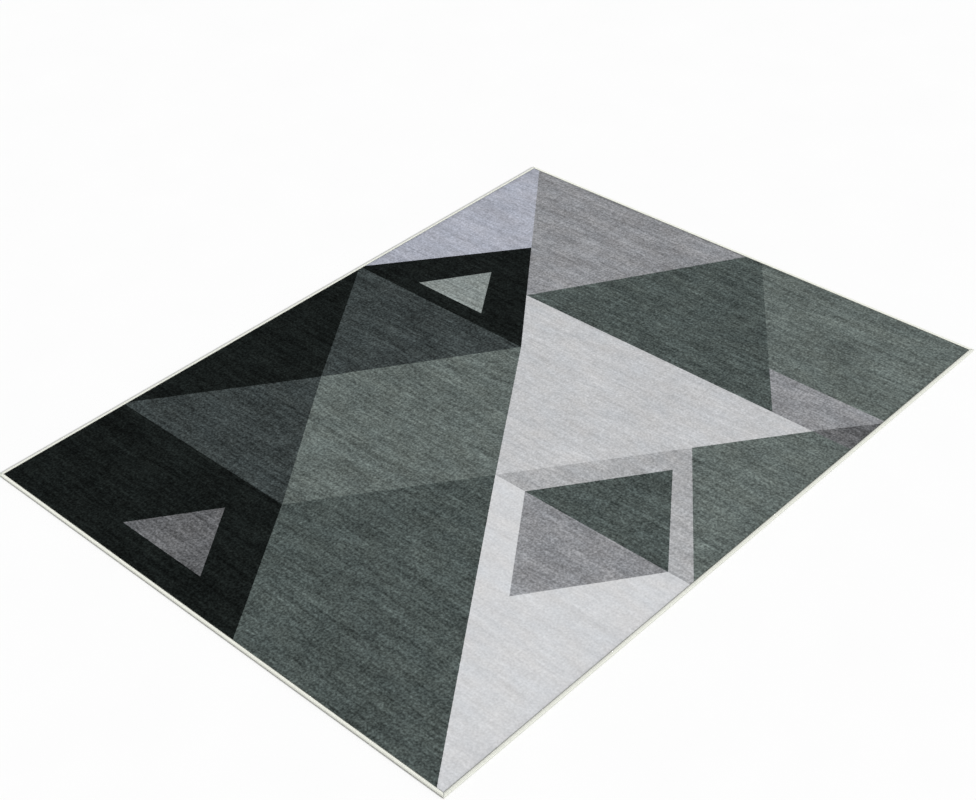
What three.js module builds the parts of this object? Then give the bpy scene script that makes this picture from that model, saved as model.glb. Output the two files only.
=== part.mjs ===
// Rug-style chair mat: a printed face cloth, a felt core and a rubber grip backing, laid one on another
// and held together by an overlocked edge of three threads along each side.
// Millimetres. X runs across the mat, Y along it, Z up. The origin is on the floor at the mat's centre.
import * as THREE from 'three';

// Driving dimensions
const WIDTH = 1600;
const LENGTH = 2040;
const GAP = 0.3; // clearance between neighbouring pieces

const DOT_HEIGHT = 0.8; // grip dots stand this far below the rubber sheet
const RUBBER = 0.6;
const FELT = 1.2;
const FACE = 0.9;
const SQUEEZE = 0.3; // the stitches press the face cloth's margin down by this much

const RIM_WIDTH = 9; // how far the overlocked edge reaches in over the cloth
const YARN = 1.0; // thickness of the yarn where it wraps round the cut edge
const YARN_FLAT = 0.5; // thickness of the yarn where it is pulled flat
const CROWN = 0.5; // how much the upper yarn swells above its flat thickness
const NEEDLE_WIDTH = 1.4;
const NEEDLE_HEIGHT = 0.5;
const CURVE_STEPS = 6; // straight steps in each rounded stretch of a section

// Heights that follow from them
const rubberBottom = DOT_HEIGHT;
const rubberTop = rubberBottom + RUBBER;
const feltBottom = rubberTop + GAP;
const feltTop = feltBottom + FELT;
const faceBottom = feltTop + GAP;
const faceTop = faceBottom + FACE;
const marginTop = faceTop - SQUEEZE;
const yarnBottom = marginTop + GAP;
const yarnCrest = yarnBottom + YARN_FLAT + CROWN;
const yarnMeeting = (feltBottom + feltTop) / 2; // where the upper and under yarns link, on the outside

// Distances in from the mat's outline
const layerInset = YARN + GAP; // the cut edge of the layers
const needleOuter = RIM_WIDTH + GAP;
const needleInner = needleOuter + NEEDLE_WIDTH;
const flatInset = needleInner + GAP; // where the face cloth rises out of its pressed margin

// Materials
function cloth(color) {
  return new THREE.MeshStandardMaterial({ color, roughness: 0.95, metalness: 0 });
}
const printMaterial = () => cloth(0x59615f);
const feltMaterial = () => cloth(0x8c8c88);
const yarnMaterial = () => cloth(0xe6e7dc);
const needleMaterial = () => cloth(0x98998f);
const rubberMaterial = () => new THREE.MeshStandardMaterial({ color: 0x2c2d2e, roughness: 0.7, metalness: 0 });

// A closed solid of rectangles stacked from the bottom up. Each level gives a height and how far its
// rectangle lies inside the mat's outline; two levels at one height make a flat step.
function stackedRectangles(levels) {
  const positions = [];
  for (const { z, inset } of levels) {
    const x = WIDTH / 2 - inset;
    const y = LENGTH / 2 - inset;
    positions.push(-x, -y, z, x, -y, z, x, y, z, -x, y, z);
  }
  const indices = [0, 2, 1, 0, 3, 2];
  for (let level = 1; level < levels.length; level++) {
    for (let corner = 0; corner < 4; corner++) {
      const next = (corner + 1) % 4;
      const below = 4 * (level - 1);
      const above = 4 * level;
      indices.push(below + corner, below + next, above + next);
      indices.push(below + corner, above + next, above + corner);
    }
  }
  const top = 4 * (levels.length - 1);
  indices.push(top, top + 1, top + 2, top, top + 2, top + 3);
  const geometry = new THREE.BufferGeometry();
  geometry.setAttribute('position', new THREE.Float32BufferAttribute(positions, 3));
  geometry.setIndex(indices);
  geometry.computeVertexNormals();
  return geometry;
}

// A length of edging for the side at -Y: a section, drawn as (distance in from the outline, height), run
// along X with both ends mitred at 45 degrees and held back by half the gap from the next side's end.
function mitredRun(section, sideLength) {
  const geometry = new THREE.ExtrudeGeometry(section, {
    depth: sideLength,
    bevelEnabled: false,
    curveSegments: CURVE_STEPS,
  });
  const points = geometry.attributes.position;
  const endGap = GAP * Math.SQRT1_2;
  for (let i = 0; i < points.count; i++) {
    const inset = points.getX(i);
    const height = points.getY(i);
    const atStart = points.getZ(i) < sideLength / 2;
    const reach = sideLength / 2 - inset - endGap;
    points.setXYZ(i, atStart ? -reach : reach, inset, height);
  }
  return geometry;
}

// The upper looper yarn: a low crown over the cloth that turns down over the cut edge.
function upperYarnSection() {
  const section = new THREE.Shape();
  const shoulder = yarnBottom + YARN_FLAT;
  section.moveTo(RIM_WIDTH, yarnBottom);
  section.lineTo(YARN, yarnBottom);
  section.lineTo(YARN, yarnMeeting);
  section.lineTo(0, yarnMeeting);
  section.lineTo(0, faceBottom);
  section.quadraticCurveTo(0, yarnCrest, RIM_WIDTH / 2, yarnCrest);
  section.quadraticCurveTo(RIM_WIDTH, yarnCrest, RIM_WIDTH, shoulder);
  section.closePath();
  return section;
}

// The under looper yarn: flat on the floor beneath the rubber sheet, and up the outside to meet the upper.
function underYarnSection() {
  const section = new THREE.Shape();
  const meeting = yarnMeeting - GAP;
  section.moveTo(YARN, 0);
  section.lineTo(RIM_WIDTH, 0);
  section.lineTo(RIM_WIDTH, YARN_FLAT);
  section.lineTo(YARN, YARN_FLAT);
  section.lineTo(YARN, meeting);
  section.lineTo(0, meeting);
  section.lineTo(0, YARN);
  section.quadraticCurveTo(0, 0, YARN, 0);
  return section;
}

// The needle thread: a low round-topped row of stitches on the pressed margin, just inside the upper yarn.
function needleSection() {
  const section = new THREE.Shape();
  const top = yarnBottom + NEEDLE_HEIGHT;
  section.moveTo(needleInner, yarnBottom);
  section.lineTo(needleOuter, yarnBottom);
  section.quadraticCurveTo(needleOuter, top, (needleOuter + needleInner) / 2, top);
  section.quadraticCurveTo(needleInner, top, needleInner, yarnBottom);
  return section;
}

function addMesh(parent, name, geometry, material) {
  const mesh = new THREE.Mesh(geometry, material);
  mesh.name = name;
  parent.add(mesh);
}

function layers() {
  const group = new THREE.Group();
  const backing = stackedRectangles([
    { z: 0, inset: RIM_WIDTH + GAP },
    { z: rubberBottom, inset: RIM_WIDTH + GAP },
    { z: rubberBottom, inset: layerInset },
    { z: rubberTop, inset: layerInset },
  ]);
  const core = stackedRectangles([
    { z: feltBottom, inset: layerInset },
    { z: feltTop, inset: layerInset },
  ]);
  const face = stackedRectangles([
    { z: faceBottom, inset: layerInset },
    { z: marginTop, inset: layerInset },
    { z: marginTop, inset: flatInset },
    { z: faceTop, inset: flatInset },
  ]);
  addMesh(group, 'grip_backing', backing, rubberMaterial());
  addMesh(group, 'felt_core', core, feltMaterial());
  addMesh(group, 'face_cloth', face, printMaterial());
  return group;
}

// One side's overlocked edge, turned about Z from the front and moved out to its side of the mat.
function overlockedEdge(side) {
  const group = new THREE.Group();
  const { name, length, distance, turn } = side;
  addMesh(group, `serging_top_${name}`, mitredRun(upperYarnSection(), length), yarnMaterial());
  addMesh(group, `serging_under_${name}`, mitredRun(underYarnSection(), length), yarnMaterial());
  addMesh(group, `needle_thread_${name}`, mitredRun(needleSection(), length), needleMaterial());
  for (const mesh of group.children) mesh.position.y = -distance;
  group.rotation.z = turn;
  return group;
}

const sides = [
  { name: 'front', length: WIDTH, distance: LENGTH / 2, turn: 0 },
  { name: 'right', length: LENGTH, distance: WIDTH / 2, turn: Math.PI / 2 },
  { name: 'back', length: WIDTH, distance: LENGTH / 2, turn: Math.PI },
  { name: 'left', length: LENGTH, distance: WIDTH / 2, turn: -Math.PI / 2 },
];

const chairMat = new THREE.Group();
chairMat.add(layers());
for (const side of sides) chairMat.add(overlockedEdge(side));

export default chairMat;
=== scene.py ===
"""A rug-style chair mat: printed face cloth, felt core, rubber grip backing and an overlocked edge.

Metres. X runs across the mat, Y along it, Z up, and the origin is on the floor at the mat's centre.
"""
import math

import bpy
import numpy as np
from mathutils import Matrix, Vector


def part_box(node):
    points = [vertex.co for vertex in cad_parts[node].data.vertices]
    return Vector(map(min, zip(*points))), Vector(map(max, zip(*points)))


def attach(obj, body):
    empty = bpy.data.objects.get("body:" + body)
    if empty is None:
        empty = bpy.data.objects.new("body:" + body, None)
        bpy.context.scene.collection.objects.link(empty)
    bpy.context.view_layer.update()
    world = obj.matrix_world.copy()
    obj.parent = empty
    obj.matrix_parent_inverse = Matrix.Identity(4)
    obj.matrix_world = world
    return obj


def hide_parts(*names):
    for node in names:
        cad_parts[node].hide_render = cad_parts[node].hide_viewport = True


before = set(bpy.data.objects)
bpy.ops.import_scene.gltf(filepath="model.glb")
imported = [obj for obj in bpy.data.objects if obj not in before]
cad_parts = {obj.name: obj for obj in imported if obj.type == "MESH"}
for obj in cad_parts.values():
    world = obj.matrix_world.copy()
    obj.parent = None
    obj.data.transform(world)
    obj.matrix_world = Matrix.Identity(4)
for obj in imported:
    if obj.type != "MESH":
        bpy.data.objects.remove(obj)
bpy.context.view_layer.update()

MM = 0.001
GAP = 0.3 * MM  # clearance between neighbouring pieces

# Where things are, from the frame
face_low, face_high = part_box("face_cloth")
felt_low, felt_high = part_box("felt_core")
backing_low, backing_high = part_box("grip_backing")
upper_low, upper_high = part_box("serging_top_front")
under_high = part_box("serging_under_front")[1]
needle_low, needle_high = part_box("needle_thread_front")

HALF_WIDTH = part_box("serging_top_right")[1].x
HALF_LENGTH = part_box("serging_top_back")[1].y
RIM_WIDTH = upper_high.y - upper_low.y  # how far the yarn reaches in over the cloth
LAYER_INSET = HALF_WIDTH - face_high.x  # how far in from the outline the layers are cut
NEEDLE_INSET = HALF_LENGTH + (needle_low.y + needle_high.y) / 2
MARGIN_HEIGHT = needle_low.z - GAP  # top of the face cloth where the stitches press it down

YARN = LAYER_INSET - GAP  # thickness of the yarn where it wraps round the cut edge
YARN_FLAT = 0.5 * MM  # thickness of the yarn where it is pulled flat

# Sizes of what repeats
STITCH_PITCH = 3.0 * MM
GRID_STEP = 8 * MM
FELT_STEP = 20 * MM
RUBBER_STEP = 40 * MM
RUBBER = 0.6 * MM  # thickness of the rubber sheet between the dots
RUBBER_UNDERSIDE = backing_high.z - RUBBER
DOT_PITCH = 21 * MM
DOT_RADIUS = 3 * MM


# ---------------------------------------------------------------- camera, lights and floor


def photo_camera():
    """The camera: above the mat's front right corner, turned a little on its own axis."""
    place = Vector((2.544, -2.549, 2.741))
    target = Vector((-0.057, 0.018, 0.0))
    roll = math.radians(-3.33)
    ahead = (target - place).normalized()
    right = ahead.cross(Vector((0, 0, 1))).normalized()
    up = right.cross(ahead)
    turned_right = math.cos(roll) * right + math.sin(roll) * up
    turned_up = math.cos(roll) * up - math.sin(roll) * right
    camera = bpy.data.objects.new("camera", bpy.data.cameras.new("camera"))
    camera.data.lens = 63.55
    camera.data.sensor_width = 36
    turn = Matrix((turned_right, turned_up, -ahead)).transposed()
    camera.matrix_world = Matrix.Translation(place) @ turn.to_4x4()
    bpy.context.scene.collection.objects.link(camera)
    bpy.context.scene.camera = camera


def studio_light():
    """Low soft daylight from the mat's right side, and an even white surround."""
    sun = bpy.data.objects.new("key_light", bpy.data.lights.new("key_light", "SUN"))
    sun.data.energy = 3.13
    sun.data.angle = math.radians(12)
    toward_light = Vector((1, 0.12, 0.5))
    sun.rotation_euler = toward_light.to_track_quat("Z", "Y").to_euler()
    bpy.context.scene.collection.objects.link(sun)

    world = bpy.data.worlds.new("surround")
    world.use_nodes = True
    nodes = world.node_tree.nodes
    links = world.node_tree.links
    lit = nodes["Background"]
    lit.inputs["Color"].default_value = (1, 1, 1, 1)
    lit.inputs["Strength"].default_value = 0.6
    seen = nodes.new("ShaderNodeBackground")
    seen.inputs["Color"].default_value = (0.985, 0.985, 0.985, 1)
    ray = nodes.new("ShaderNodeLightPath")
    mix = nodes.new("ShaderNodeMixShader")
    links.new(ray.outputs["Is Camera Ray"], mix.inputs["Fac"])
    links.new(lit.outputs["Background"], mix.inputs[1])
    links.new(seen.outputs["Background"], mix.inputs[2])
    links.new(mix.outputs["Shader"], nodes["World Output"].inputs["Surface"])
    bpy.context.scene.world = world
    bpy.context.scene.view_settings.view_transform = "Standard"


def floor():
    """A plain pale floor just under the mat."""
    half = 30
    drop = 0.1 * MM
    corners = [(-half, -half, -drop), (half, -half, -drop), (half, half, -drop), (-half, half, -drop)]
    mesh = bpy.data.meshes.new("floor")
    mesh.from_pydata(corners, [], [(0, 1, 2, 3)])
    plane = bpy.data.objects.new("floor", mesh)
    bpy.context.scene.collection.objects.link(plane)
    shader = Shader("floor_paint")
    grain = shader.noise(shader.place(), scale=4, detail=3)
    shader.colour(shader.mix(grain, (0.935, 0.935, 0.935), (0.955, 0.955, 0.955)))
    shader.surface.inputs["Roughness"].default_value = 0.9
    shader.surface.inputs["Specular IOR Level"].default_value = 0.1
    mesh.materials.append(shader.material)


# ---------------------------------------------------------------- material building


class Shader:
    """A node material being put together. Values may be numbers, colours or sockets of other nodes."""

    def __init__(self, name):
        self.material = bpy.data.materials.new(name)
        self.material.use_nodes = True
        self.tree = self.material.node_tree
        self.surface = self.tree.nodes["Principled BSDF"]

    def feed(self, socket, value):
        if isinstance(value, bpy.types.NodeSocket):
            self.tree.links.new(value, socket)
        elif isinstance(value, tuple) and socket.type == "RGBA":
            socket.default_value = (*value, 1)
        else:
            socket.default_value = value

    def node(self, kind, inputs=None, **settings):
        node = self.tree.nodes.new("ShaderNode" + kind)
        for name, value in settings.items():
            setattr(node, name, value)
        for socket, value in (inputs or {}).items():
            self.feed(node.inputs[socket], value)
        return node

    def math(self, operation, first, second=0.0):
        return self.node("Math", {0: first, 1: second}, operation=operation).outputs[0]

    def place(self):
        """Where the shaded point is on the mat, in metres."""
        return self.node("TexCoord").outputs["Object"]

    def along(self, place, axis):
        """One coordinate of a place."""
        return self.node("SeparateXYZ", {0: place}).outputs[axis]

    def stretched(self, place, x=1.0, y=1.0, z=1.0):
        return self.node("VectorMath", {0: place, 1: (x, y, z)}, operation="MULTIPLY").outputs[0]

    def noise(self, place, scale=1.0, detail=2.0, roughness=0.5):
        """Noise from 0 to 1, with features of about 1 / scale metres."""
        inputs = {"Vector": place, "Scale": scale, "Detail": detail, "Roughness": roughness}
        return self.node("TexNoise", inputs).outputs[0]

    def swing(self, place, strength, **noise):
        """Noise about zero, with a typical size of strength."""
        typical = 0.12  # how far the noise node's values usually lie from their middle
        centred = self.math("SUBTRACT", self.noise(place, **noise), 0.5)
        return self.math("MULTIPLY", centred, strength / typical)

    def total(self, first, *others):
        for other in others:
            first = self.math("ADD", first, other)
        return first

    def ramp(self, value, start, end, low, high):
        """low up to start, high from end on, and a straight run between."""
        inputs = {"Value": value, "From Min": start, "From Max": end, "To Min": low, "To Max": high}
        return self.node("MapRange", inputs, clamp=True).outputs[0]

    def mix(self, share, first, second):
        node = self.node("Mix", data_type="RGBA")
        self.feed(node.inputs["Factor"], share)
        for socket in node.inputs:
            if socket.type == "RGBA":
                self.feed(socket, first if socket.name == "A" else second)
        return [socket for socket in node.outputs if socket.type == "RGBA"][0]

    def brightened(self, colour, factor):
        """A colour times a factor that may vary over the surface."""
        return self.node("VectorMath", {0: colour, "Scale": factor}, operation="SCALE").outputs[0]

    def colour(self, value):
        self.feed(self.surface.inputs["Base Color"], value)

    def bump(self, height, depth):
        """Raises the surface by height, which runs from about 0 to 1, times depth in metres."""
        node = self.node("Bump", {"Height": height, "Distance": depth, "Strength": 1.0})
        self.tree.links.new(node.outputs[0], self.surface.inputs["Normal"])


def linear(red, green, blue):
    """A colour given as a screen shows it, 0 to 255, as the amounts of light that it reflects."""
    shares = [level / 255 for level in (red, green, blue)]
    return tuple(s / 12.92 if s <= 0.04045 else ((s + 0.055) / 1.055) ** 2.4 for s in shares)


# ---------------------------------------------------------------- the print

# Every corner is laid on a 25 mm grid, as (across, along) in metres from the mat's middle, or is
# worked out from the others. A block that runs off the mat has corners beyond its edge.
BEYOND_X, BEYOND_Y = 0.85, 1.05
LOW_ROW, MIDDLE_ROW, UPPER_ROW = -0.625, -0.200, 0.250
BAND_LOW, BAND_HIGH = 0.450, 0.600

# The inks, as a screen shows them
BLACK = (20, 24, 23)
DARK_GREEN = (56, 62, 62)
GREEN = (74, 82, 80)
LIGHT_GREEN = (95, 103, 100)
PALE_GREEN = (128, 135, 133)
SLATE = (97, 98, 100)
GREY = (138, 139, 142)
SILVER = (167, 168, 170)
LAVENDER = (166, 169, 180)
LIGHT_GREY = (190, 191, 193)
PALE_GREY = (205, 206, 208)


def at_row(start, end, row):
    """Where the line through two corners crosses a row."""
    share = (row - start[1]) / (end[1] - start[1])
    return (start[0] + share * (end[0] - start[0]), row)


def print_blocks():
    """The blocks in the order they are laid down, each as its ink and its corners."""
    front_left = (-BEYOND_X, -BEYOND_Y)
    front_right = (BEYOND_X, -BEYOND_Y)
    back_left = (-BEYOND_X, BEYOND_Y)
    back_right = (BEYOND_X, BEYOND_Y)
    right_middle = (BEYOND_X, MIDDLE_ROW)
    right_low = (BEYOND_X, BAND_LOW)
    right_high = (BEYOND_X, BAND_HIGH)
    left_low = (-0.800, LOW_ROW)
    left_upper = (-0.800, UPPER_ROW)
    diamond_left = (-0.475, MIDDLE_ROW)
    diamond_right = (0.175, MIDDLE_ROW)
    diamond_back = (-0.150, UPPER_ROW)
    diamond_front = (-0.150, LOW_ROW)
    peak = (-0.475, 0.650)
    peak_inner = [(-0.475, 0.475), (-0.600, 0.300), (-0.350, 0.300)]
    front_inner = [(-0.250, -0.725), (-0.400, -0.925), (-0.100, -0.925)]
    black_front = (0.150, -BEYOND_Y)
    light_left = at_row(diamond_back, peak, BAND_LOW)
    light_right = (0.675, BAND_LOW)
    stripe_back = at_row(diamond_back, peak, BEYOND_Y)
    green_back = (0.075, BEYOND_Y)
    green_right = (0.550, BAND_LOW)
    chevron_back = at_row(diamond_right, light_right, 0.200)
    chevron_right = (0.800, MIDDLE_ROW)
    inner_left = (0.275, MIDDLE_ROW)
    inner_right = (0.725, MIDDLE_ROW)
    inner_back = (0.500, 0.100)
    inner_front = (0.500, -0.500)
    wedge = (0.800, BAND_HIGH)
    front_tip = (0.800, -BEYOND_Y)
    band_low = (green_back[0], BAND_LOW)
    band_high = (green_back[0], BAND_HIGH)
    return [
        (LIGHT_GREEN, [green_back, back_right, right_high, band_high]),
        (GREY, [band_high, right_high, right_low, band_low]),
        (SLATE, [light_right, right_low, right_high, wedge]),
        (GREEN, [green_back, light_left, green_right]),
        (GREY, [stripe_back, green_back, light_left]),
        (LIGHT_GREY, [light_left, light_right, diamond_right]),
        (LAVENDER, [left_upper, peak, stripe_back, back_left]),
        (BLACK, [left_upper, diamond_back, peak]),
        (PALE_GREEN, peak_inner),
        (LIGHT_GREEN, [light_right, right_low, right_middle, diamond_right]),
        (SILVER, [chevron_back, diamond_right, chevron_right]),
        (GREEN, [inner_back, inner_left, inner_right]),
        (PALE_GREY, [diamond_right, right_middle, front_right, front_tip]),
        (GREY, [inner_left, inner_right, inner_front]),
        (LIGHT_GREEN, [diamond_left, diamond_back, diamond_right, diamond_front]),
        (DARK_GREEN, [left_upper, diamond_back, diamond_left]),
        (BLACK, [left_upper, diamond_left, left_low]),
        (DARK_GREEN, [left_low, diamond_left, diamond_front]),
        (BLACK, [left_low, diamond_front, black_front, front_left]),
        (SLATE, front_inner),
    ]


def inside(shader, place, corners):
    """1 where a place is inside a convex outline, and 0 outside."""
    middle = Vector((sum(x for x, y in corners), sum(y for x, y in corners))) / len(corners)
    result = 1.0
    for start, end in zip(corners, corners[1:] + corners[:1]):
        run = Vector(end) - Vector(start)
        inward = Vector((-run.y, run.x)).normalized()
        if inward.dot(middle - Vector(start)) < 0:
            inward = -inward
        offset = inward.dot(Vector(start))
        reach = shader.node("VectorMath", {0: place, 1: (inward.x, inward.y, 0)}, operation="DOT_PRODUCT")
        test = shader.math("GREATER_THAN", reach.outputs["Value"], offset)
        result = shader.math("MINIMUM", result, test)
    return result


def printed_blocks(shader, place):
    """The print's plain colours, with edges that wander by less than a thread."""
    across = shader.swing(place, 0.3 * MM, scale=600)
    along = shader.swing(shader.stretched(place, z=2), 0.3 * MM, scale=550)
    wander = shader.node("CombineXYZ", {0: across, 1: along}).outputs[0]
    wandered = shader.node("VectorMath", {0: place, 1: wander}, operation="ADD").outputs[0]
    colour = linear(*GREEN)
    for ink, corners in print_blocks():
        colour = shader.mix(inside(shader, wandered, corners), colour, linear(*ink))
    return colour


def heather(shader, place):
    """How much lighter or darker each spot of the yarn is, about zero with a typical size of one."""
    speckle = shader.swing(place, 1.3, scale=180, detail=2)
    slubs = shader.swing(shader.stretched(place, 24, 140), 0.5, detail=1)
    weft_streaks = shader.swing(shader.stretched(place, 5, 80), 0.45, detail=1)
    warp_streaks = shader.swing(shader.stretched(place, 120, 6), 0.25, detail=1)
    return shader.total(speckle, slubs, weft_streaks, warp_streaks)


def patches(shader, place):
    """Worn and brushed patches a hand's breadth across and wider, about zero with a typical size of one."""
    brushed = shader.swing(shader.stretched(place, 5, 22), 0.9, detail=3)
    worn = shader.swing(place, 0.3, scale=5, detail=2)
    return shader.total(brushed, worn)


def tinted(shader, place, colour):
    """The colour with faint warm and cool patches, as the dye took unevenly."""
    warmth = shader.swing(shader.stretched(place, 10, 20, 1), 0.008, detail=3)
    red = shader.math("ADD", 1.0, warmth)
    blue = shader.math("SUBTRACT", 1.0, warmth)
    tint = shader.node("CombineXYZ", {0: red, 1: 1.0, 2: blue}).outputs[0]
    return shader.node("VectorMath", {0: colour, 1: tint}, operation="MULTIPLY").outputs[0]


def edge_distance(shader, place):
    """How far a place is from the mat's outline."""
    x = shader.math("ABSOLUTE", shader.along(place, "X"))
    y = shader.math("ABSOLUTE", shader.along(place, "Y"))
    to_side = shader.math("SUBTRACT", HALF_WIDTH, x)
    to_end = shader.math("SUBTRACT", HALF_LENGTH, y)
    return shader.math("MINIMUM", to_side, to_end)


def thread_waves(shader, place, axis, pitch):
    """Round ribs, one for each thread, lying across an axis."""
    turns = shader.math("MULTIPLY", shader.along(place, axis), math.pi / pitch)
    return shader.math("ABSOLUTE", shader.math("SINE", turns))


def print_material():
    """Woven polyester printed in blocks, with the mottled yarn showing through the ink."""
    shader = Shader("printed_cloth")
    place = shader.place()
    blocks = printed_blocks(shader, place)
    tone = heather(shader, place)

    brightness = shader.math("POWER", shader.node("RGBToBW", {0: blocks}).outputs[0], 1 / 2.2)
    contrast = shader.ramp(brightness, 0.05, 0.82, 0.38, 0.036)
    yarn = shader.math("MULTIPLY", tone, contrast)
    broad = shader.math("MULTIPLY", patches(shader, place), shader.math("MULTIPLY", contrast, 0.52))
    # Painted shade: the cloth is darkened next to the overlocked edge, most at the yarn and fading out 14 mm
    # further in, where the stitches press its margin down.
    painted_margin_shade = shader.ramp(edge_distance(shader, place), RIM_WIDTH, RIM_WIDTH + 14 * MM, -0.12, 0.0)
    change = shader.total(yarn, broad, painted_margin_shade)
    # Cubed, so that light and dark spots stand out equally on a screen
    cube_root = shader.math("ADD", 1.0, shader.math("MULTIPLY", change, 1 / 3))
    factor = shader.math("POWER", shader.math("MAXIMUM", cube_root, 0.5), 3.0)
    shader.colour(tinted(shader, place, shader.brightened(blocks, factor)))

    shader.feed(shader.surface.inputs["Roughness"], shader.ramp(tone, -2, 2, 0.96, 0.86))
    shader.surface.inputs["Specular IOR Level"].default_value = 0.03

    thread = 1.5 * MM
    weft = thread_waves(shader, place, "Y", thread)
    warp = thread_waves(shader, place, "X", thread)
    weave = shader.math("MULTIPLY", shader.math("ADD", weft, warp), 0.3)
    pile = shader.noise(place, scale=900, detail=2)
    height = shader.total(weave, shader.math("MULTIPLY", pile, 0.3), shader.math("MULTIPLY", tone, 0.08))
    shader.bump(height, 0.25 * MM)
    return shader.material


# ---------------------------------------------------------------- the other materials


def felt_material():
    """Pressed grey felt: short crossed fibres and darker flecks."""
    shader = Shader("pressed_felt")
    place = shader.place()
    fibres = shader.noise(shader.stretched(place, 900, 300, 900), detail=3)
    flecks = shader.noise(place, scale=260, detail=1)
    grey = shader.mix(fibres, (0.22, 0.22, 0.21), (0.42, 0.42, 0.40))
    dark_share = shader.ramp(flecks, 0.64, 0.72, 0.0, 0.7)
    shader.colour(shader.mix(dark_share, grey, (0.08, 0.08, 0.08)))
    shader.feed(shader.surface.inputs["Roughness"], shader.ramp(fibres, 0.3, 0.7, 0.9, 1.0))
    shader.surface.inputs["Specular IOR Level"].default_value = 0.1
    shader.bump(fibres, 0.3 * MM)
    return shader.material


def rubber_material():
    """Dark grey rubber with a fine moulded grain and a little dust where it touches the floor."""
    shader = Shader("moulded_rubber")
    place = shader.place()
    grain = shader.noise(place, scale=1200, detail=2)
    mottle = shader.noise(place, scale=14, detail=4, roughness=0.6)
    dark = shader.mix(mottle, (0.020, 0.020, 0.021), (0.036, 0.036, 0.037))
    low = shader.ramp(shader.along(place, "Z"), 0.0, 0.3 * MM, 1.0, 0.0)
    dust = shader.math("MULTIPLY", low, shader.ramp(mottle, 0.4, 0.7, 0.1, 0.5))
    shader.colour(shader.mix(dust, dark, (0.16, 0.155, 0.15)))
    shader.feed(shader.surface.inputs["Roughness"], shader.ramp(mottle, 0.3, 0.7, 0.5, 0.72))
    shader.bump(grain, 0.06 * MM)
    return shader.material


def yarn_material(name, light, dark):
    """Twisted two-ply yarn, with painted shade that greys it along the mat's outer side.

    The piece's UV map gives metres along the strand and turns round it.
    """
    shader = Shader(name)
    place = shader.place()
    strand = shader.node("UVMap", uv_map="strand").outputs[0]
    lay = 2.4 * MM  # one full turn of the twist
    turn = shader.math("MULTIPLY", shader.along(strand, "X"), 1 / lay)
    angle = shader.math("MULTIPLY", shader.math("ADD", turn, shader.along(strand, "Y")), 2 * math.pi)
    plies = shader.math("ABSOLUTE", shader.math("SINE", angle))
    fuzz = shader.noise(place, scale=1500, detail=2)
    uneven = shader.noise(place, scale=90, detail=2)
    broad = shader.noise(place, scale=6, detail=2)
    # Partly painted shade: the grooves between the plies come out darker; the fuzz and unevenness are the
    # yarn's own tone.
    share = shader.total(
        shader.math("MULTIPLY", plies, 0.35),
        shader.math("MULTIPLY", fuzz, 0.3),
        shader.math("MULTIPLY", uneven, 0.3),
        shader.math("MULTIPLY", broad, 0.25),
    )
    # Painted shade: the yarn is greyed to 80 % within 1.5 mm of the outline, fading out by 4 mm in.
    painted_outer_shade = shader.ramp(edge_distance(shader, place), 1.5 * MM, 4.0 * MM, 0.80, 1.0)
    shader.colour(shader.brightened(shader.mix(share, dark, light), painted_outer_shade))
    shader.feed(shader.surface.inputs["Roughness"], shader.ramp(plies, 0.0, 1.0, 0.9, 0.7))
    shader.surface.inputs["Specular IOR Level"].default_value = 0.25
    shader.surface.inputs["Sheen Weight"].default_value = 0.1
    height = shader.total(plies, shader.math("MULTIPLY", fuzz, 0.5))
    shader.bump(height, 0.12 * MM)
    return shader.material


# ---------------------------------------------------------------- mesh building


def add_piece(name, mesh, material, replaced):
    """Puts a finished mesh in the scene, in place of a CAD node."""
    mesh.materials.append(material)
    mesh.shade_smooth()
    piece = bpy.data.objects.new(name, mesh)
    bpy.context.scene.collection.objects.link(piece)
    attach(piece, "root")
    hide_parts(replaced)
    return piece


def mesh_from(name, points, faces):
    mesh = bpy.data.meshes.new(name)
    mesh.from_pydata(np.asarray(points).reshape(-1, 3).tolist(), [], faces)
    mesh.update()
    return mesh


def grid_faces(rows, columns, first=0):
    """Quads between the points of a grid that is stored row by row, facing up where rows run along Y."""
    faces = []
    for row in range(rows - 1):
        for column in range(columns - 1):
            here = first + row * columns + column
            faces.append((here, here + 1, here + columns + 1, here + columns))
    return faces


def inset_lines(half, insets, step):
    """Grid lines from -half to half: close together at the given insets, and a step apart inside them."""
    near = [half - inset for inset in insets]
    inner = near[-1]
    count = max(2, round(2 * inner / step))
    middle = np.linspace(-inner, inner, count + 1)
    return np.concatenate([[-v for v in near[:-1]], middle, near[:-1][::-1]])


def ripples(x, y, lengths, seed):
    """Smooth unevenness of about one unit: a few waves of each length, in random directions."""
    random = np.random.default_rng(seed)
    waves_each = 5
    total = np.zeros_like(x)
    for length in lengths:
        for _ in range(waves_each):
            direction = random.uniform(0, 2 * math.pi)
            phase = random.uniform(0, 2 * math.pi)
            distance = x * math.cos(direction) + y * math.sin(direction)
            total += np.sin(2 * math.pi * distance / length + phase)
    return total / math.sqrt(waves_each * len(lengths) / 2)


def smooth_step(value, start, end):
    t = np.clip((value - start) / (end - start), 0, 1)
    return t * t * (3 - 2 * t)


def slab_points(half_x, half_y, insets, step):
    """Grid points over a rectangle, as (x, y, distance in from the rectangle's edge)."""
    x, y = np.meshgrid(inset_lines(half_x, insets, step), inset_lines(half_y, insets, step))
    inward = np.minimum(half_x - np.abs(x), half_y - np.abs(y))
    return x, y, inward


def rounded(inward, radius):
    """How far a rounded edge lies below the flat: the radius at the very edge, nothing beyond it."""
    t = np.clip(1 - inward / radius, 0, 1)
    return radius * (1 - np.sqrt(1 - t * t))


# ---------------------------------------------------------------- the layers


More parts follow.
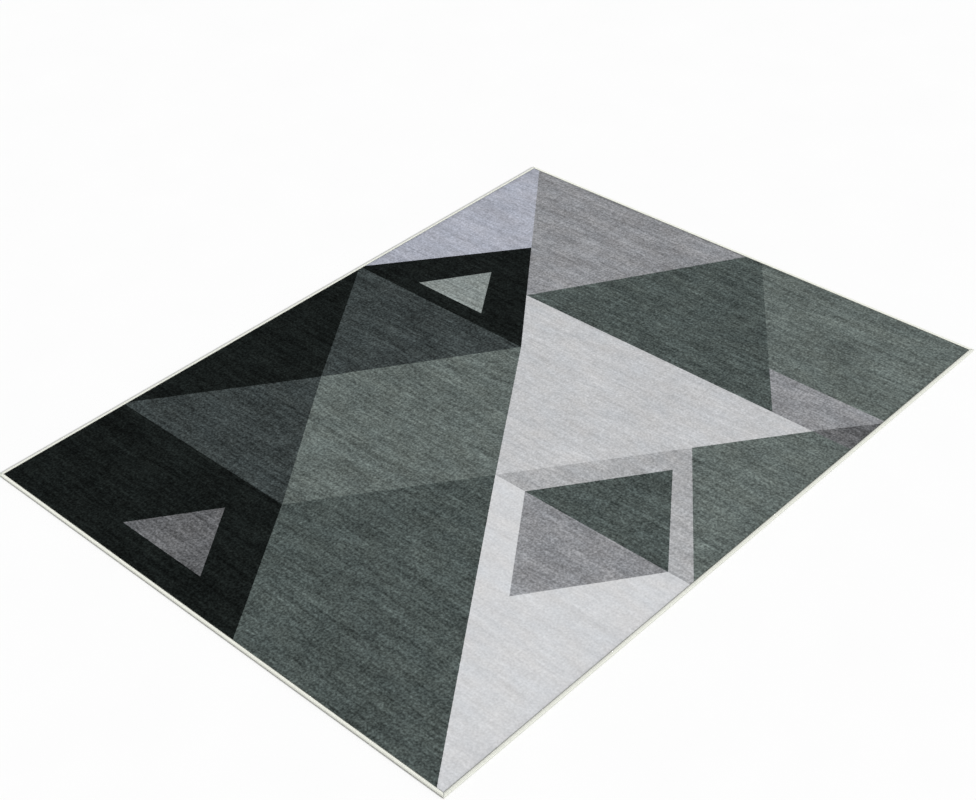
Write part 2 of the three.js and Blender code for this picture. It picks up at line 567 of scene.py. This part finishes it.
def face_cloth():
    """The printed cloth: one open sheet, its margin pushed down and slightly puckered by the stitches."""
    half_x, half_y = face_high.x, face_high.y
    cut_radius = 0.5 * MM
    rise_start = NEEDLE_INSET - LAYER_INSET + 0.8 * MM
    rise_end = rise_start + 9 * MM
    insets = [i * MM for i in (0, 0.15, 0.5, 2, 5, 8, 10, 12, 14, 16, 18, 21)]
    x, y, inward = slab_points(half_x, half_y, insets, GRID_STEP)
    risen = smooth_step(inward, rise_start, rise_end)
    uneven = 0.05 * MM * ripples(x, y, (0.09, 0.23, 0.61), seed=3)
    puckers = 0.05 * MM * ripples(x, y, (0.026, 0.041), seed=4)
    soft = uneven - 0.1 * MM
    height = MARGIN_HEIGHT - 0.06 * MM + puckers * 0.6
    height = height + risen * (face_high.z - MARGIN_HEIGHT + soft - puckers)
    height -= rounded(inward, cut_radius)
    rows, columns = x.shape
    points = np.stack([x, y, np.minimum(height, face_high.z)], axis=-1).reshape(-1, 3)
    outline = border_order(rows, columns)
    skirt = points[outline].copy()
    skirt[:, 2] = face_low.z
    first = len(points)
    faces = grid_faces(rows, columns) + skirt_faces(outline, first)
    mesh = mesh_from("face_cloth_sheet", np.concatenate([points, skirt]), faces)
    return add_piece("printed_face", mesh, print_material(), "face_cloth")


def border_order(rows, columns):
    """The grid's outer points, counter-clockwise from its first."""
    front = list(range(columns - 1))
    right = [row * columns + columns - 1 for row in range(rows - 1)]
    back = [(rows - 1) * columns + column for column in range(columns - 1, 0, -1)]
    left = [row * columns for row in range(rows - 1, 0, -1)]
    return front + right + back + left


def skirt_faces(outline, first):
    """A wall from an outline down to a second ring of points that starts at first."""
    count = len(outline)
    faces = []
    for i in range(count):
        j = (i + 1) % count
        faces.append((first + i, first + j, outline[j], outline[i]))
    return faces


def closed_slab(low, high, step, edge_radius, unevenness, seed):
    """A flat closed body with rounded edges and slightly uneven faces, as points and faces."""
    insets = [0, edge_radius * 0.3, edge_radius, 4 * edge_radius]
    x, y, inward = slab_points(high.x, high.y, insets, step)
    uneven = unevenness * (ripples(x, y, (0.12, 0.31), seed) - 2)
    round_off = rounded(inward, edge_radius)
    upper = np.stack([x, y, high.z - round_off + uneven], axis=-1).reshape(-1, 3)
    lower = np.stack([x, y, low.z + round_off - uneven * 0.2], axis=-1).reshape(-1, 3)
    rows, columns = x.shape
    first = len(upper)
    top = grid_faces(rows, columns)
    bottom = [face[::-1] for face in grid_faces(rows, columns, first)]
    outline = border_order(rows, columns)
    wall = []
    for i in range(len(outline)):
        j = (i + 1) % len(outline)
        wall.append((first + outline[i], first + outline[j], outline[j], outline[i]))
    return np.concatenate([upper, lower]), top + bottom + wall


def felt_core():
    """The felt between the face cloth and the rubber."""
    points, faces = closed_slab(felt_low, felt_high, FELT_STEP, 0.6 * MM, 0.04 * MM, seed=7)
    mesh = mesh_from("felt_sheet", points, faces)
    return add_piece("felt_layer", mesh, felt_material(), "felt_core")


def grip_dot(sides=8):
    """One moulded dot about its own middle: its rim inside the rubber sheet, its flat top on the floor."""
    rings = ((DOT_RADIUS, RUBBER_UNDERSIDE + 0.05 * MM), (DOT_RADIUS * 0.62, 0.0))
    points = []
    for radius, height in rings:
        for side in range(sides):
            turn = 2 * math.pi * side / sides
            points.append((radius * math.cos(turn), radius * math.sin(turn), height))
    faces = []
    for side in range(sides):
        following = (side + 1) % sides
        faces.append((following, side, sides + side, sides + following))
    faces.append(tuple(sides + side for side in reversed(range(sides))))
    return np.array(points), faces


def dot_places():
    """The dots' middles: staggered rows that fill the sheet inside the overlocked edge."""
    row_pitch = DOT_PITCH * math.sqrt(3) / 2
    reach_x = HALF_WIDTH - RIM_WIDTH - GAP - DOT_RADIUS
    reach_y = HALF_LENGTH - RIM_WIDTH - GAP - DOT_RADIUS
    columns = int(reach_x / DOT_PITCH)
    rows = int(reach_y / row_pitch)
    places = []
    for row in range(-rows, rows + 1):
        shift = DOT_PITCH / 2 if row % 2 else 0.0
        for column in range(-columns, columns + 1):
            x = column * DOT_PITCH + shift
            if abs(x) <= reach_x:
                places.append((x, row * row_pitch, 0.0))
    return np.array(places)


def grip_backing():
    """The rubber sheet with its grip dots."""
    sheet_low = Vector((backing_low.x, backing_low.y, RUBBER_UNDERSIDE))
    points, faces = closed_slab(sheet_low, backing_high, RUBBER_STEP, 0.3 * MM, 0.01 * MM, seed=9)
    dot_points, dot_faces = grip_dot()
    places = dot_places()
    all_dots = (places[:, None, :] + dot_points[None, :, :]).reshape(-1, 3)
    for index in range(len(places)):
        first = len(points) + index * len(dot_points)
        faces.extend(tuple(first + corner for corner in face) for face in dot_faces)
    mesh = mesh_from("grip_sheet", np.concatenate([points, all_dots]), faces)
    return add_piece("rubber_backing", mesh, rubber_material(), "grip_backing")


# ---------------------------------------------------------------- the overlocked edge

# Each side: its name, its length, the distance from the middle to its outline, and its turn about Z
SIDES = [
    ("front", 2 * HALF_WIDTH, HALF_LENGTH, 0.0),
    ("right", 2 * HALF_LENGTH, HALF_WIDTH, math.pi / 2),
    ("back", 2 * HALF_WIDTH, HALF_LENGTH, math.pi),
    ("left", 2 * HALF_LENGTH, HALF_WIDTH, -math.pi / 2),
]


def bezier(t, start, pull_start, pull_end, end):
    """Points on a cubic curve, for an array of t from 0 to 1."""
    t = np.asarray(t)[:, None]
    points = [np.array(p) for p in (start, pull_start, pull_end, end)]
    weights = [(1 - t) ** 3, 3 * t * (1 - t) ** 2, 3 * t * t * (1 - t), t**3]
    return sum(weight * point for weight, point in zip(weights, points))


def upper_route(t):
    """The upper yarn's middle line, from the cloth over and down: (distance in from the outline, height)."""
    crest = upper_high.z
    inner_end = (RIM_WIDTH, needle_low.z + YARN_FLAT / 2)
    over = (RIM_WIDTH * 0.55, crest + 0.35 * MM)
    shoulder = (-0.6 * MM, crest - 0.1 * MM)
    link = (YARN / 2, upper_low.z)
    return bezier(t, inner_end, over, shoulder, link)


def under_route(t):
    """The under yarn's middle line: from the floor side, out and up to the link."""
    inner_end = (RIM_WIDTH, YARN_FLAT / 2)
    flat = (RIM_WIDTH * 0.27, YARN_FLAT / 2)
    turn = (0.25 * MM, -0.35 * MM)
    link = (YARN / 2, under_high.z)
    return bezier(t, inner_end, flat, turn, link)


def route_steps(steps):
    """Shares of a strand's route at which it has a ring: two close together that round off its inner end."""
    return np.concatenate([[0, 0.03], np.linspace(0.1, 1, steps - 2)])


def strand_size(shares):
    """A strand's thickness along its route, as a share: blunt at the inner end, tighter at the link."""
    blunt = np.clip(0.5 + shares / 0.03 * 0.5, 0, 1)
    return blunt * (0.9 + 0.13 * np.sin(math.pi * shares))


def wrapped_strands(route, side_length, steps, seed):
    """The middle lines of one side's strands, as an array of (strand, step, xyz), for the side at -Y.

    The y of each point is its distance in from the outline. A strand near a mitre starts further out.
    """
    random = np.random.default_rng(seed)
    count = round(side_length / STITCH_PITCH)
    pitch = side_length / count
    slant = 0.8 * MM
    lines = []
    for index in range(count):
        x = (index + 0.5) * pitch - side_length / 2 + random.uniform(-0.08, 0.08) * MM
        room = side_length / 2 - abs(x) - GAP
        fine = np.linspace(0, 1, 60)
        fits = fine[route(fine)[:, 0] <= max(room, 1.2 * MM)]
        t = fits[0] + (1 - fits[0]) * route_steps(steps)
        across = route(t)
        along = x + slant * (0.5 - t)
        lines.append(np.column_stack([along, across]))
    return np.array(lines)


def strand_tubes(lines, half_width, half_thickness, sides):
    """Rings of points round middle lines, for flattened tubes: an array of (strand, step, side, xyz)."""
    tangent = np.gradient(lines, axis=1)
    tangent[..., 0] = 0
    tangent /= np.linalg.norm(tangent, axis=-1, keepdims=True)
    outward = np.stack([np.zeros_like(tangent[..., 0]), -tangent[..., 2], tangent[..., 1]], axis=-1)
    widthways = np.zeros_like(outward)
    widthways[..., 0] = 1
    angles = 2 * math.pi * np.arange(sides) / sides
    across = half_width[:, None, None] * np.cos(angles)[:, None] * widthways[:, :, None, :]
    up = half_thickness[:, None, None] * np.sin(angles)[:, None] * outward[:, :, None, :]
    return lines[:, :, None, :] + across + up


def tube_faces(strands, steps, sides):
    faces = []
    for strand in range(strands):
        first = strand * steps * sides
        for step in range(steps - 1):
            for side in range(sides):
                following = (side + 1) % sides
                here = first + step * sides
                faces.append((here + side, here + following, here + sides + following, here + sides + side))
        last = first + (steps - 1) * sides
        faces.append(tuple(first + side for side in reversed(range(sides))))
        faces.append(tuple(last + side for side in range(sides)))
    return faces


def strand_uv(mesh, lines, sides):
    """A UV map of metres along each strand and turns round it."""
    steps = lines.shape[1]
    lengths = np.linalg.norm(np.diff(lines, axis=1), axis=-1)
    travelled = np.concatenate([np.zeros((len(lines), 1)), np.cumsum(lengths, axis=1)], axis=1)
    along = np.repeat(travelled.reshape(-1), sides)
    turn = np.tile(np.arange(sides) / sides, lines.shape[0] * steps)
    loops = np.empty(len(mesh.loops), dtype=np.int32)
    mesh.loops.foreach_get("vertex_index", loops)
    values = np.column_stack([along[loops], turn[loops]]).astype(np.float32)
    mesh.uv_layers.new(name="strand").data.foreach_set("uv", values.reshape(-1))


def to_side(points, distance, turn):
    """Moves points made for the side at -Y, with their second coordinate the distance in, to a side."""
    x, inset, z = points[..., 0], points[..., 1], points[..., 2]
    y = inset - distance
    cos, sin = math.cos(turn), math.sin(turn)
    return np.stack([x * cos - y * sin, x * sin + y * cos, z], axis=-1)


def within_mitre(points, side_length):
    """Keeps a side's points inside its 45-degree ends, above the floor and no higher than the crest."""
    inset = np.maximum(points[..., 1], 0)
    reach = side_length / 2 - inset - GAP / 2
    x = np.clip(points[..., 0], -reach, reach)
    return np.stack([x, inset, np.clip(points[..., 2], 0, upper_high.z)], axis=-1)


def yarn_piece(name, lines, widths, thicknesses, side, material, node):
    """One side's run of yarn strands as a piece."""
    sides_round = 6
    side_length, distance, turn = side[1:]
    rings = strand_tubes(lines, widths, thicknesses, sides_round)
    points = to_side(within_mitre(rings, side_length), distance, turn)
    faces = tube_faces(lines.shape[0], lines.shape[1], sides_round)
    mesh = mesh_from(name, points, faces)
    strand_uv(mesh, lines, sides_round)
    return add_piece(name, mesh, material, node)


def upper_yarn(side, material, seed):
    steps = 10
    lines = wrapped_strands(upper_route, side[1], steps, seed)
    t = route_steps(steps)
    widths = STITCH_PITCH * 0.51 * strand_size(t)
    thicknesses = (YARN_FLAT / 2 + 0.17 * MM * np.minimum(1, 3 * t)) * strand_size(t)
    node = f"serging_top_{side[0]}"
    return yarn_piece(f"upper_yarn_{side[0]}", lines, widths, thicknesses, side, material, node)


def under_yarn(side, material, seed):
    steps = 9
    lines = wrapped_strands(under_route, side[1], steps, seed)
    t = route_steps(steps)
    widths = STITCH_PITCH * 0.51 * strand_size(t)
    thicknesses = (YARN_FLAT / 2 + 0.17 * MM * smooth_step(t, 0.6, 1)) * strand_size(t)
    node = f"serging_under_{side[0]}"
    return yarn_piece(f"under_yarn_{side[0]}", lines, widths, thicknesses, side, material, node)


def needle_stitches(side, material, seed):
    """The needle thread: a row of short stitches that dive into the cloth at both ends."""
    name, side_length, distance, turn = side
    random = np.random.default_rng(seed)
    reach = side_length / 2 - NEEDLE_INSET - 1 * MM
    count = round(2 * reach / STITCH_PITCH)
    pitch = 2 * reach / count
    steps, sides_round = 5, 6
    t = np.linspace(0, 1, steps)
    radius = 0.25 * MM
    lines = np.zeros((count, steps, 3))
    for index in range(count):
        start = -reach + index * pitch
        lines[index, :, 0] = start + (0.04 + 0.92 * t) * pitch
        lines[index, :, 1] = NEEDLE_INSET + 0.15 * MM * (t - 0.5) + random.uniform(-0.04, 0.04) * MM
        lines[index, :, 2] = MARGIN_HEIGHT + 0.5 * MM * np.sin(math.pi * t) ** 0.6 + 0.02 * MM
    rings = round_tubes(lines, radius * (0.65 + 0.35 * np.sin(math.pi * t)), sides_round)
    points = to_side(rings, distance, turn)
    mesh = mesh_from(f"needle_{name}", points, tube_faces(count, steps, sides_round))
    strand_uv(mesh, lines, sides_round)
    return add_piece(f"needle_stitches_{name}", mesh, material, f"needle_thread_{name}")


def round_tubes(lines, radius, sides):
    """Round tubes about lines that run along X."""
    angles = 2 * math.pi * np.arange(sides) / sides
    rings = np.repeat(lines[:, :, None, :], sides, axis=2)
    rings[..., 1] += np.cos(angles)[None, None, :] * radius[None, :, None]
    rings[..., 2] += np.sin(angles)[None, None, :] * radius[None, :, None]
    return rings


# ---------------------------------------------------------------- putting it together

photo_camera()
studio_light()
floor()

face = face_cloth()
felt = felt_core()
backing = grip_backing()

cream = yarn_material("cream_yarn", linear(244, 245, 236), linear(216, 218, 206))
# The under yarn is a darker copy of the cream yarn: painted shade on the edge's lower outer side.
shaded_cream = yarn_material("under_yarn", linear(198, 199, 187), linear(164, 166, 153))
thread = yarn_material("needle_thread", linear(160, 161, 151), linear(130, 132, 122))
for order, side in enumerate(SIDES):
    upper_yarn(side, cream, seed=20 + order)
    under_yarn(side, shaded_cream, seed=30 + order)
    needle_stitches(side, thread, seed=40 + order)
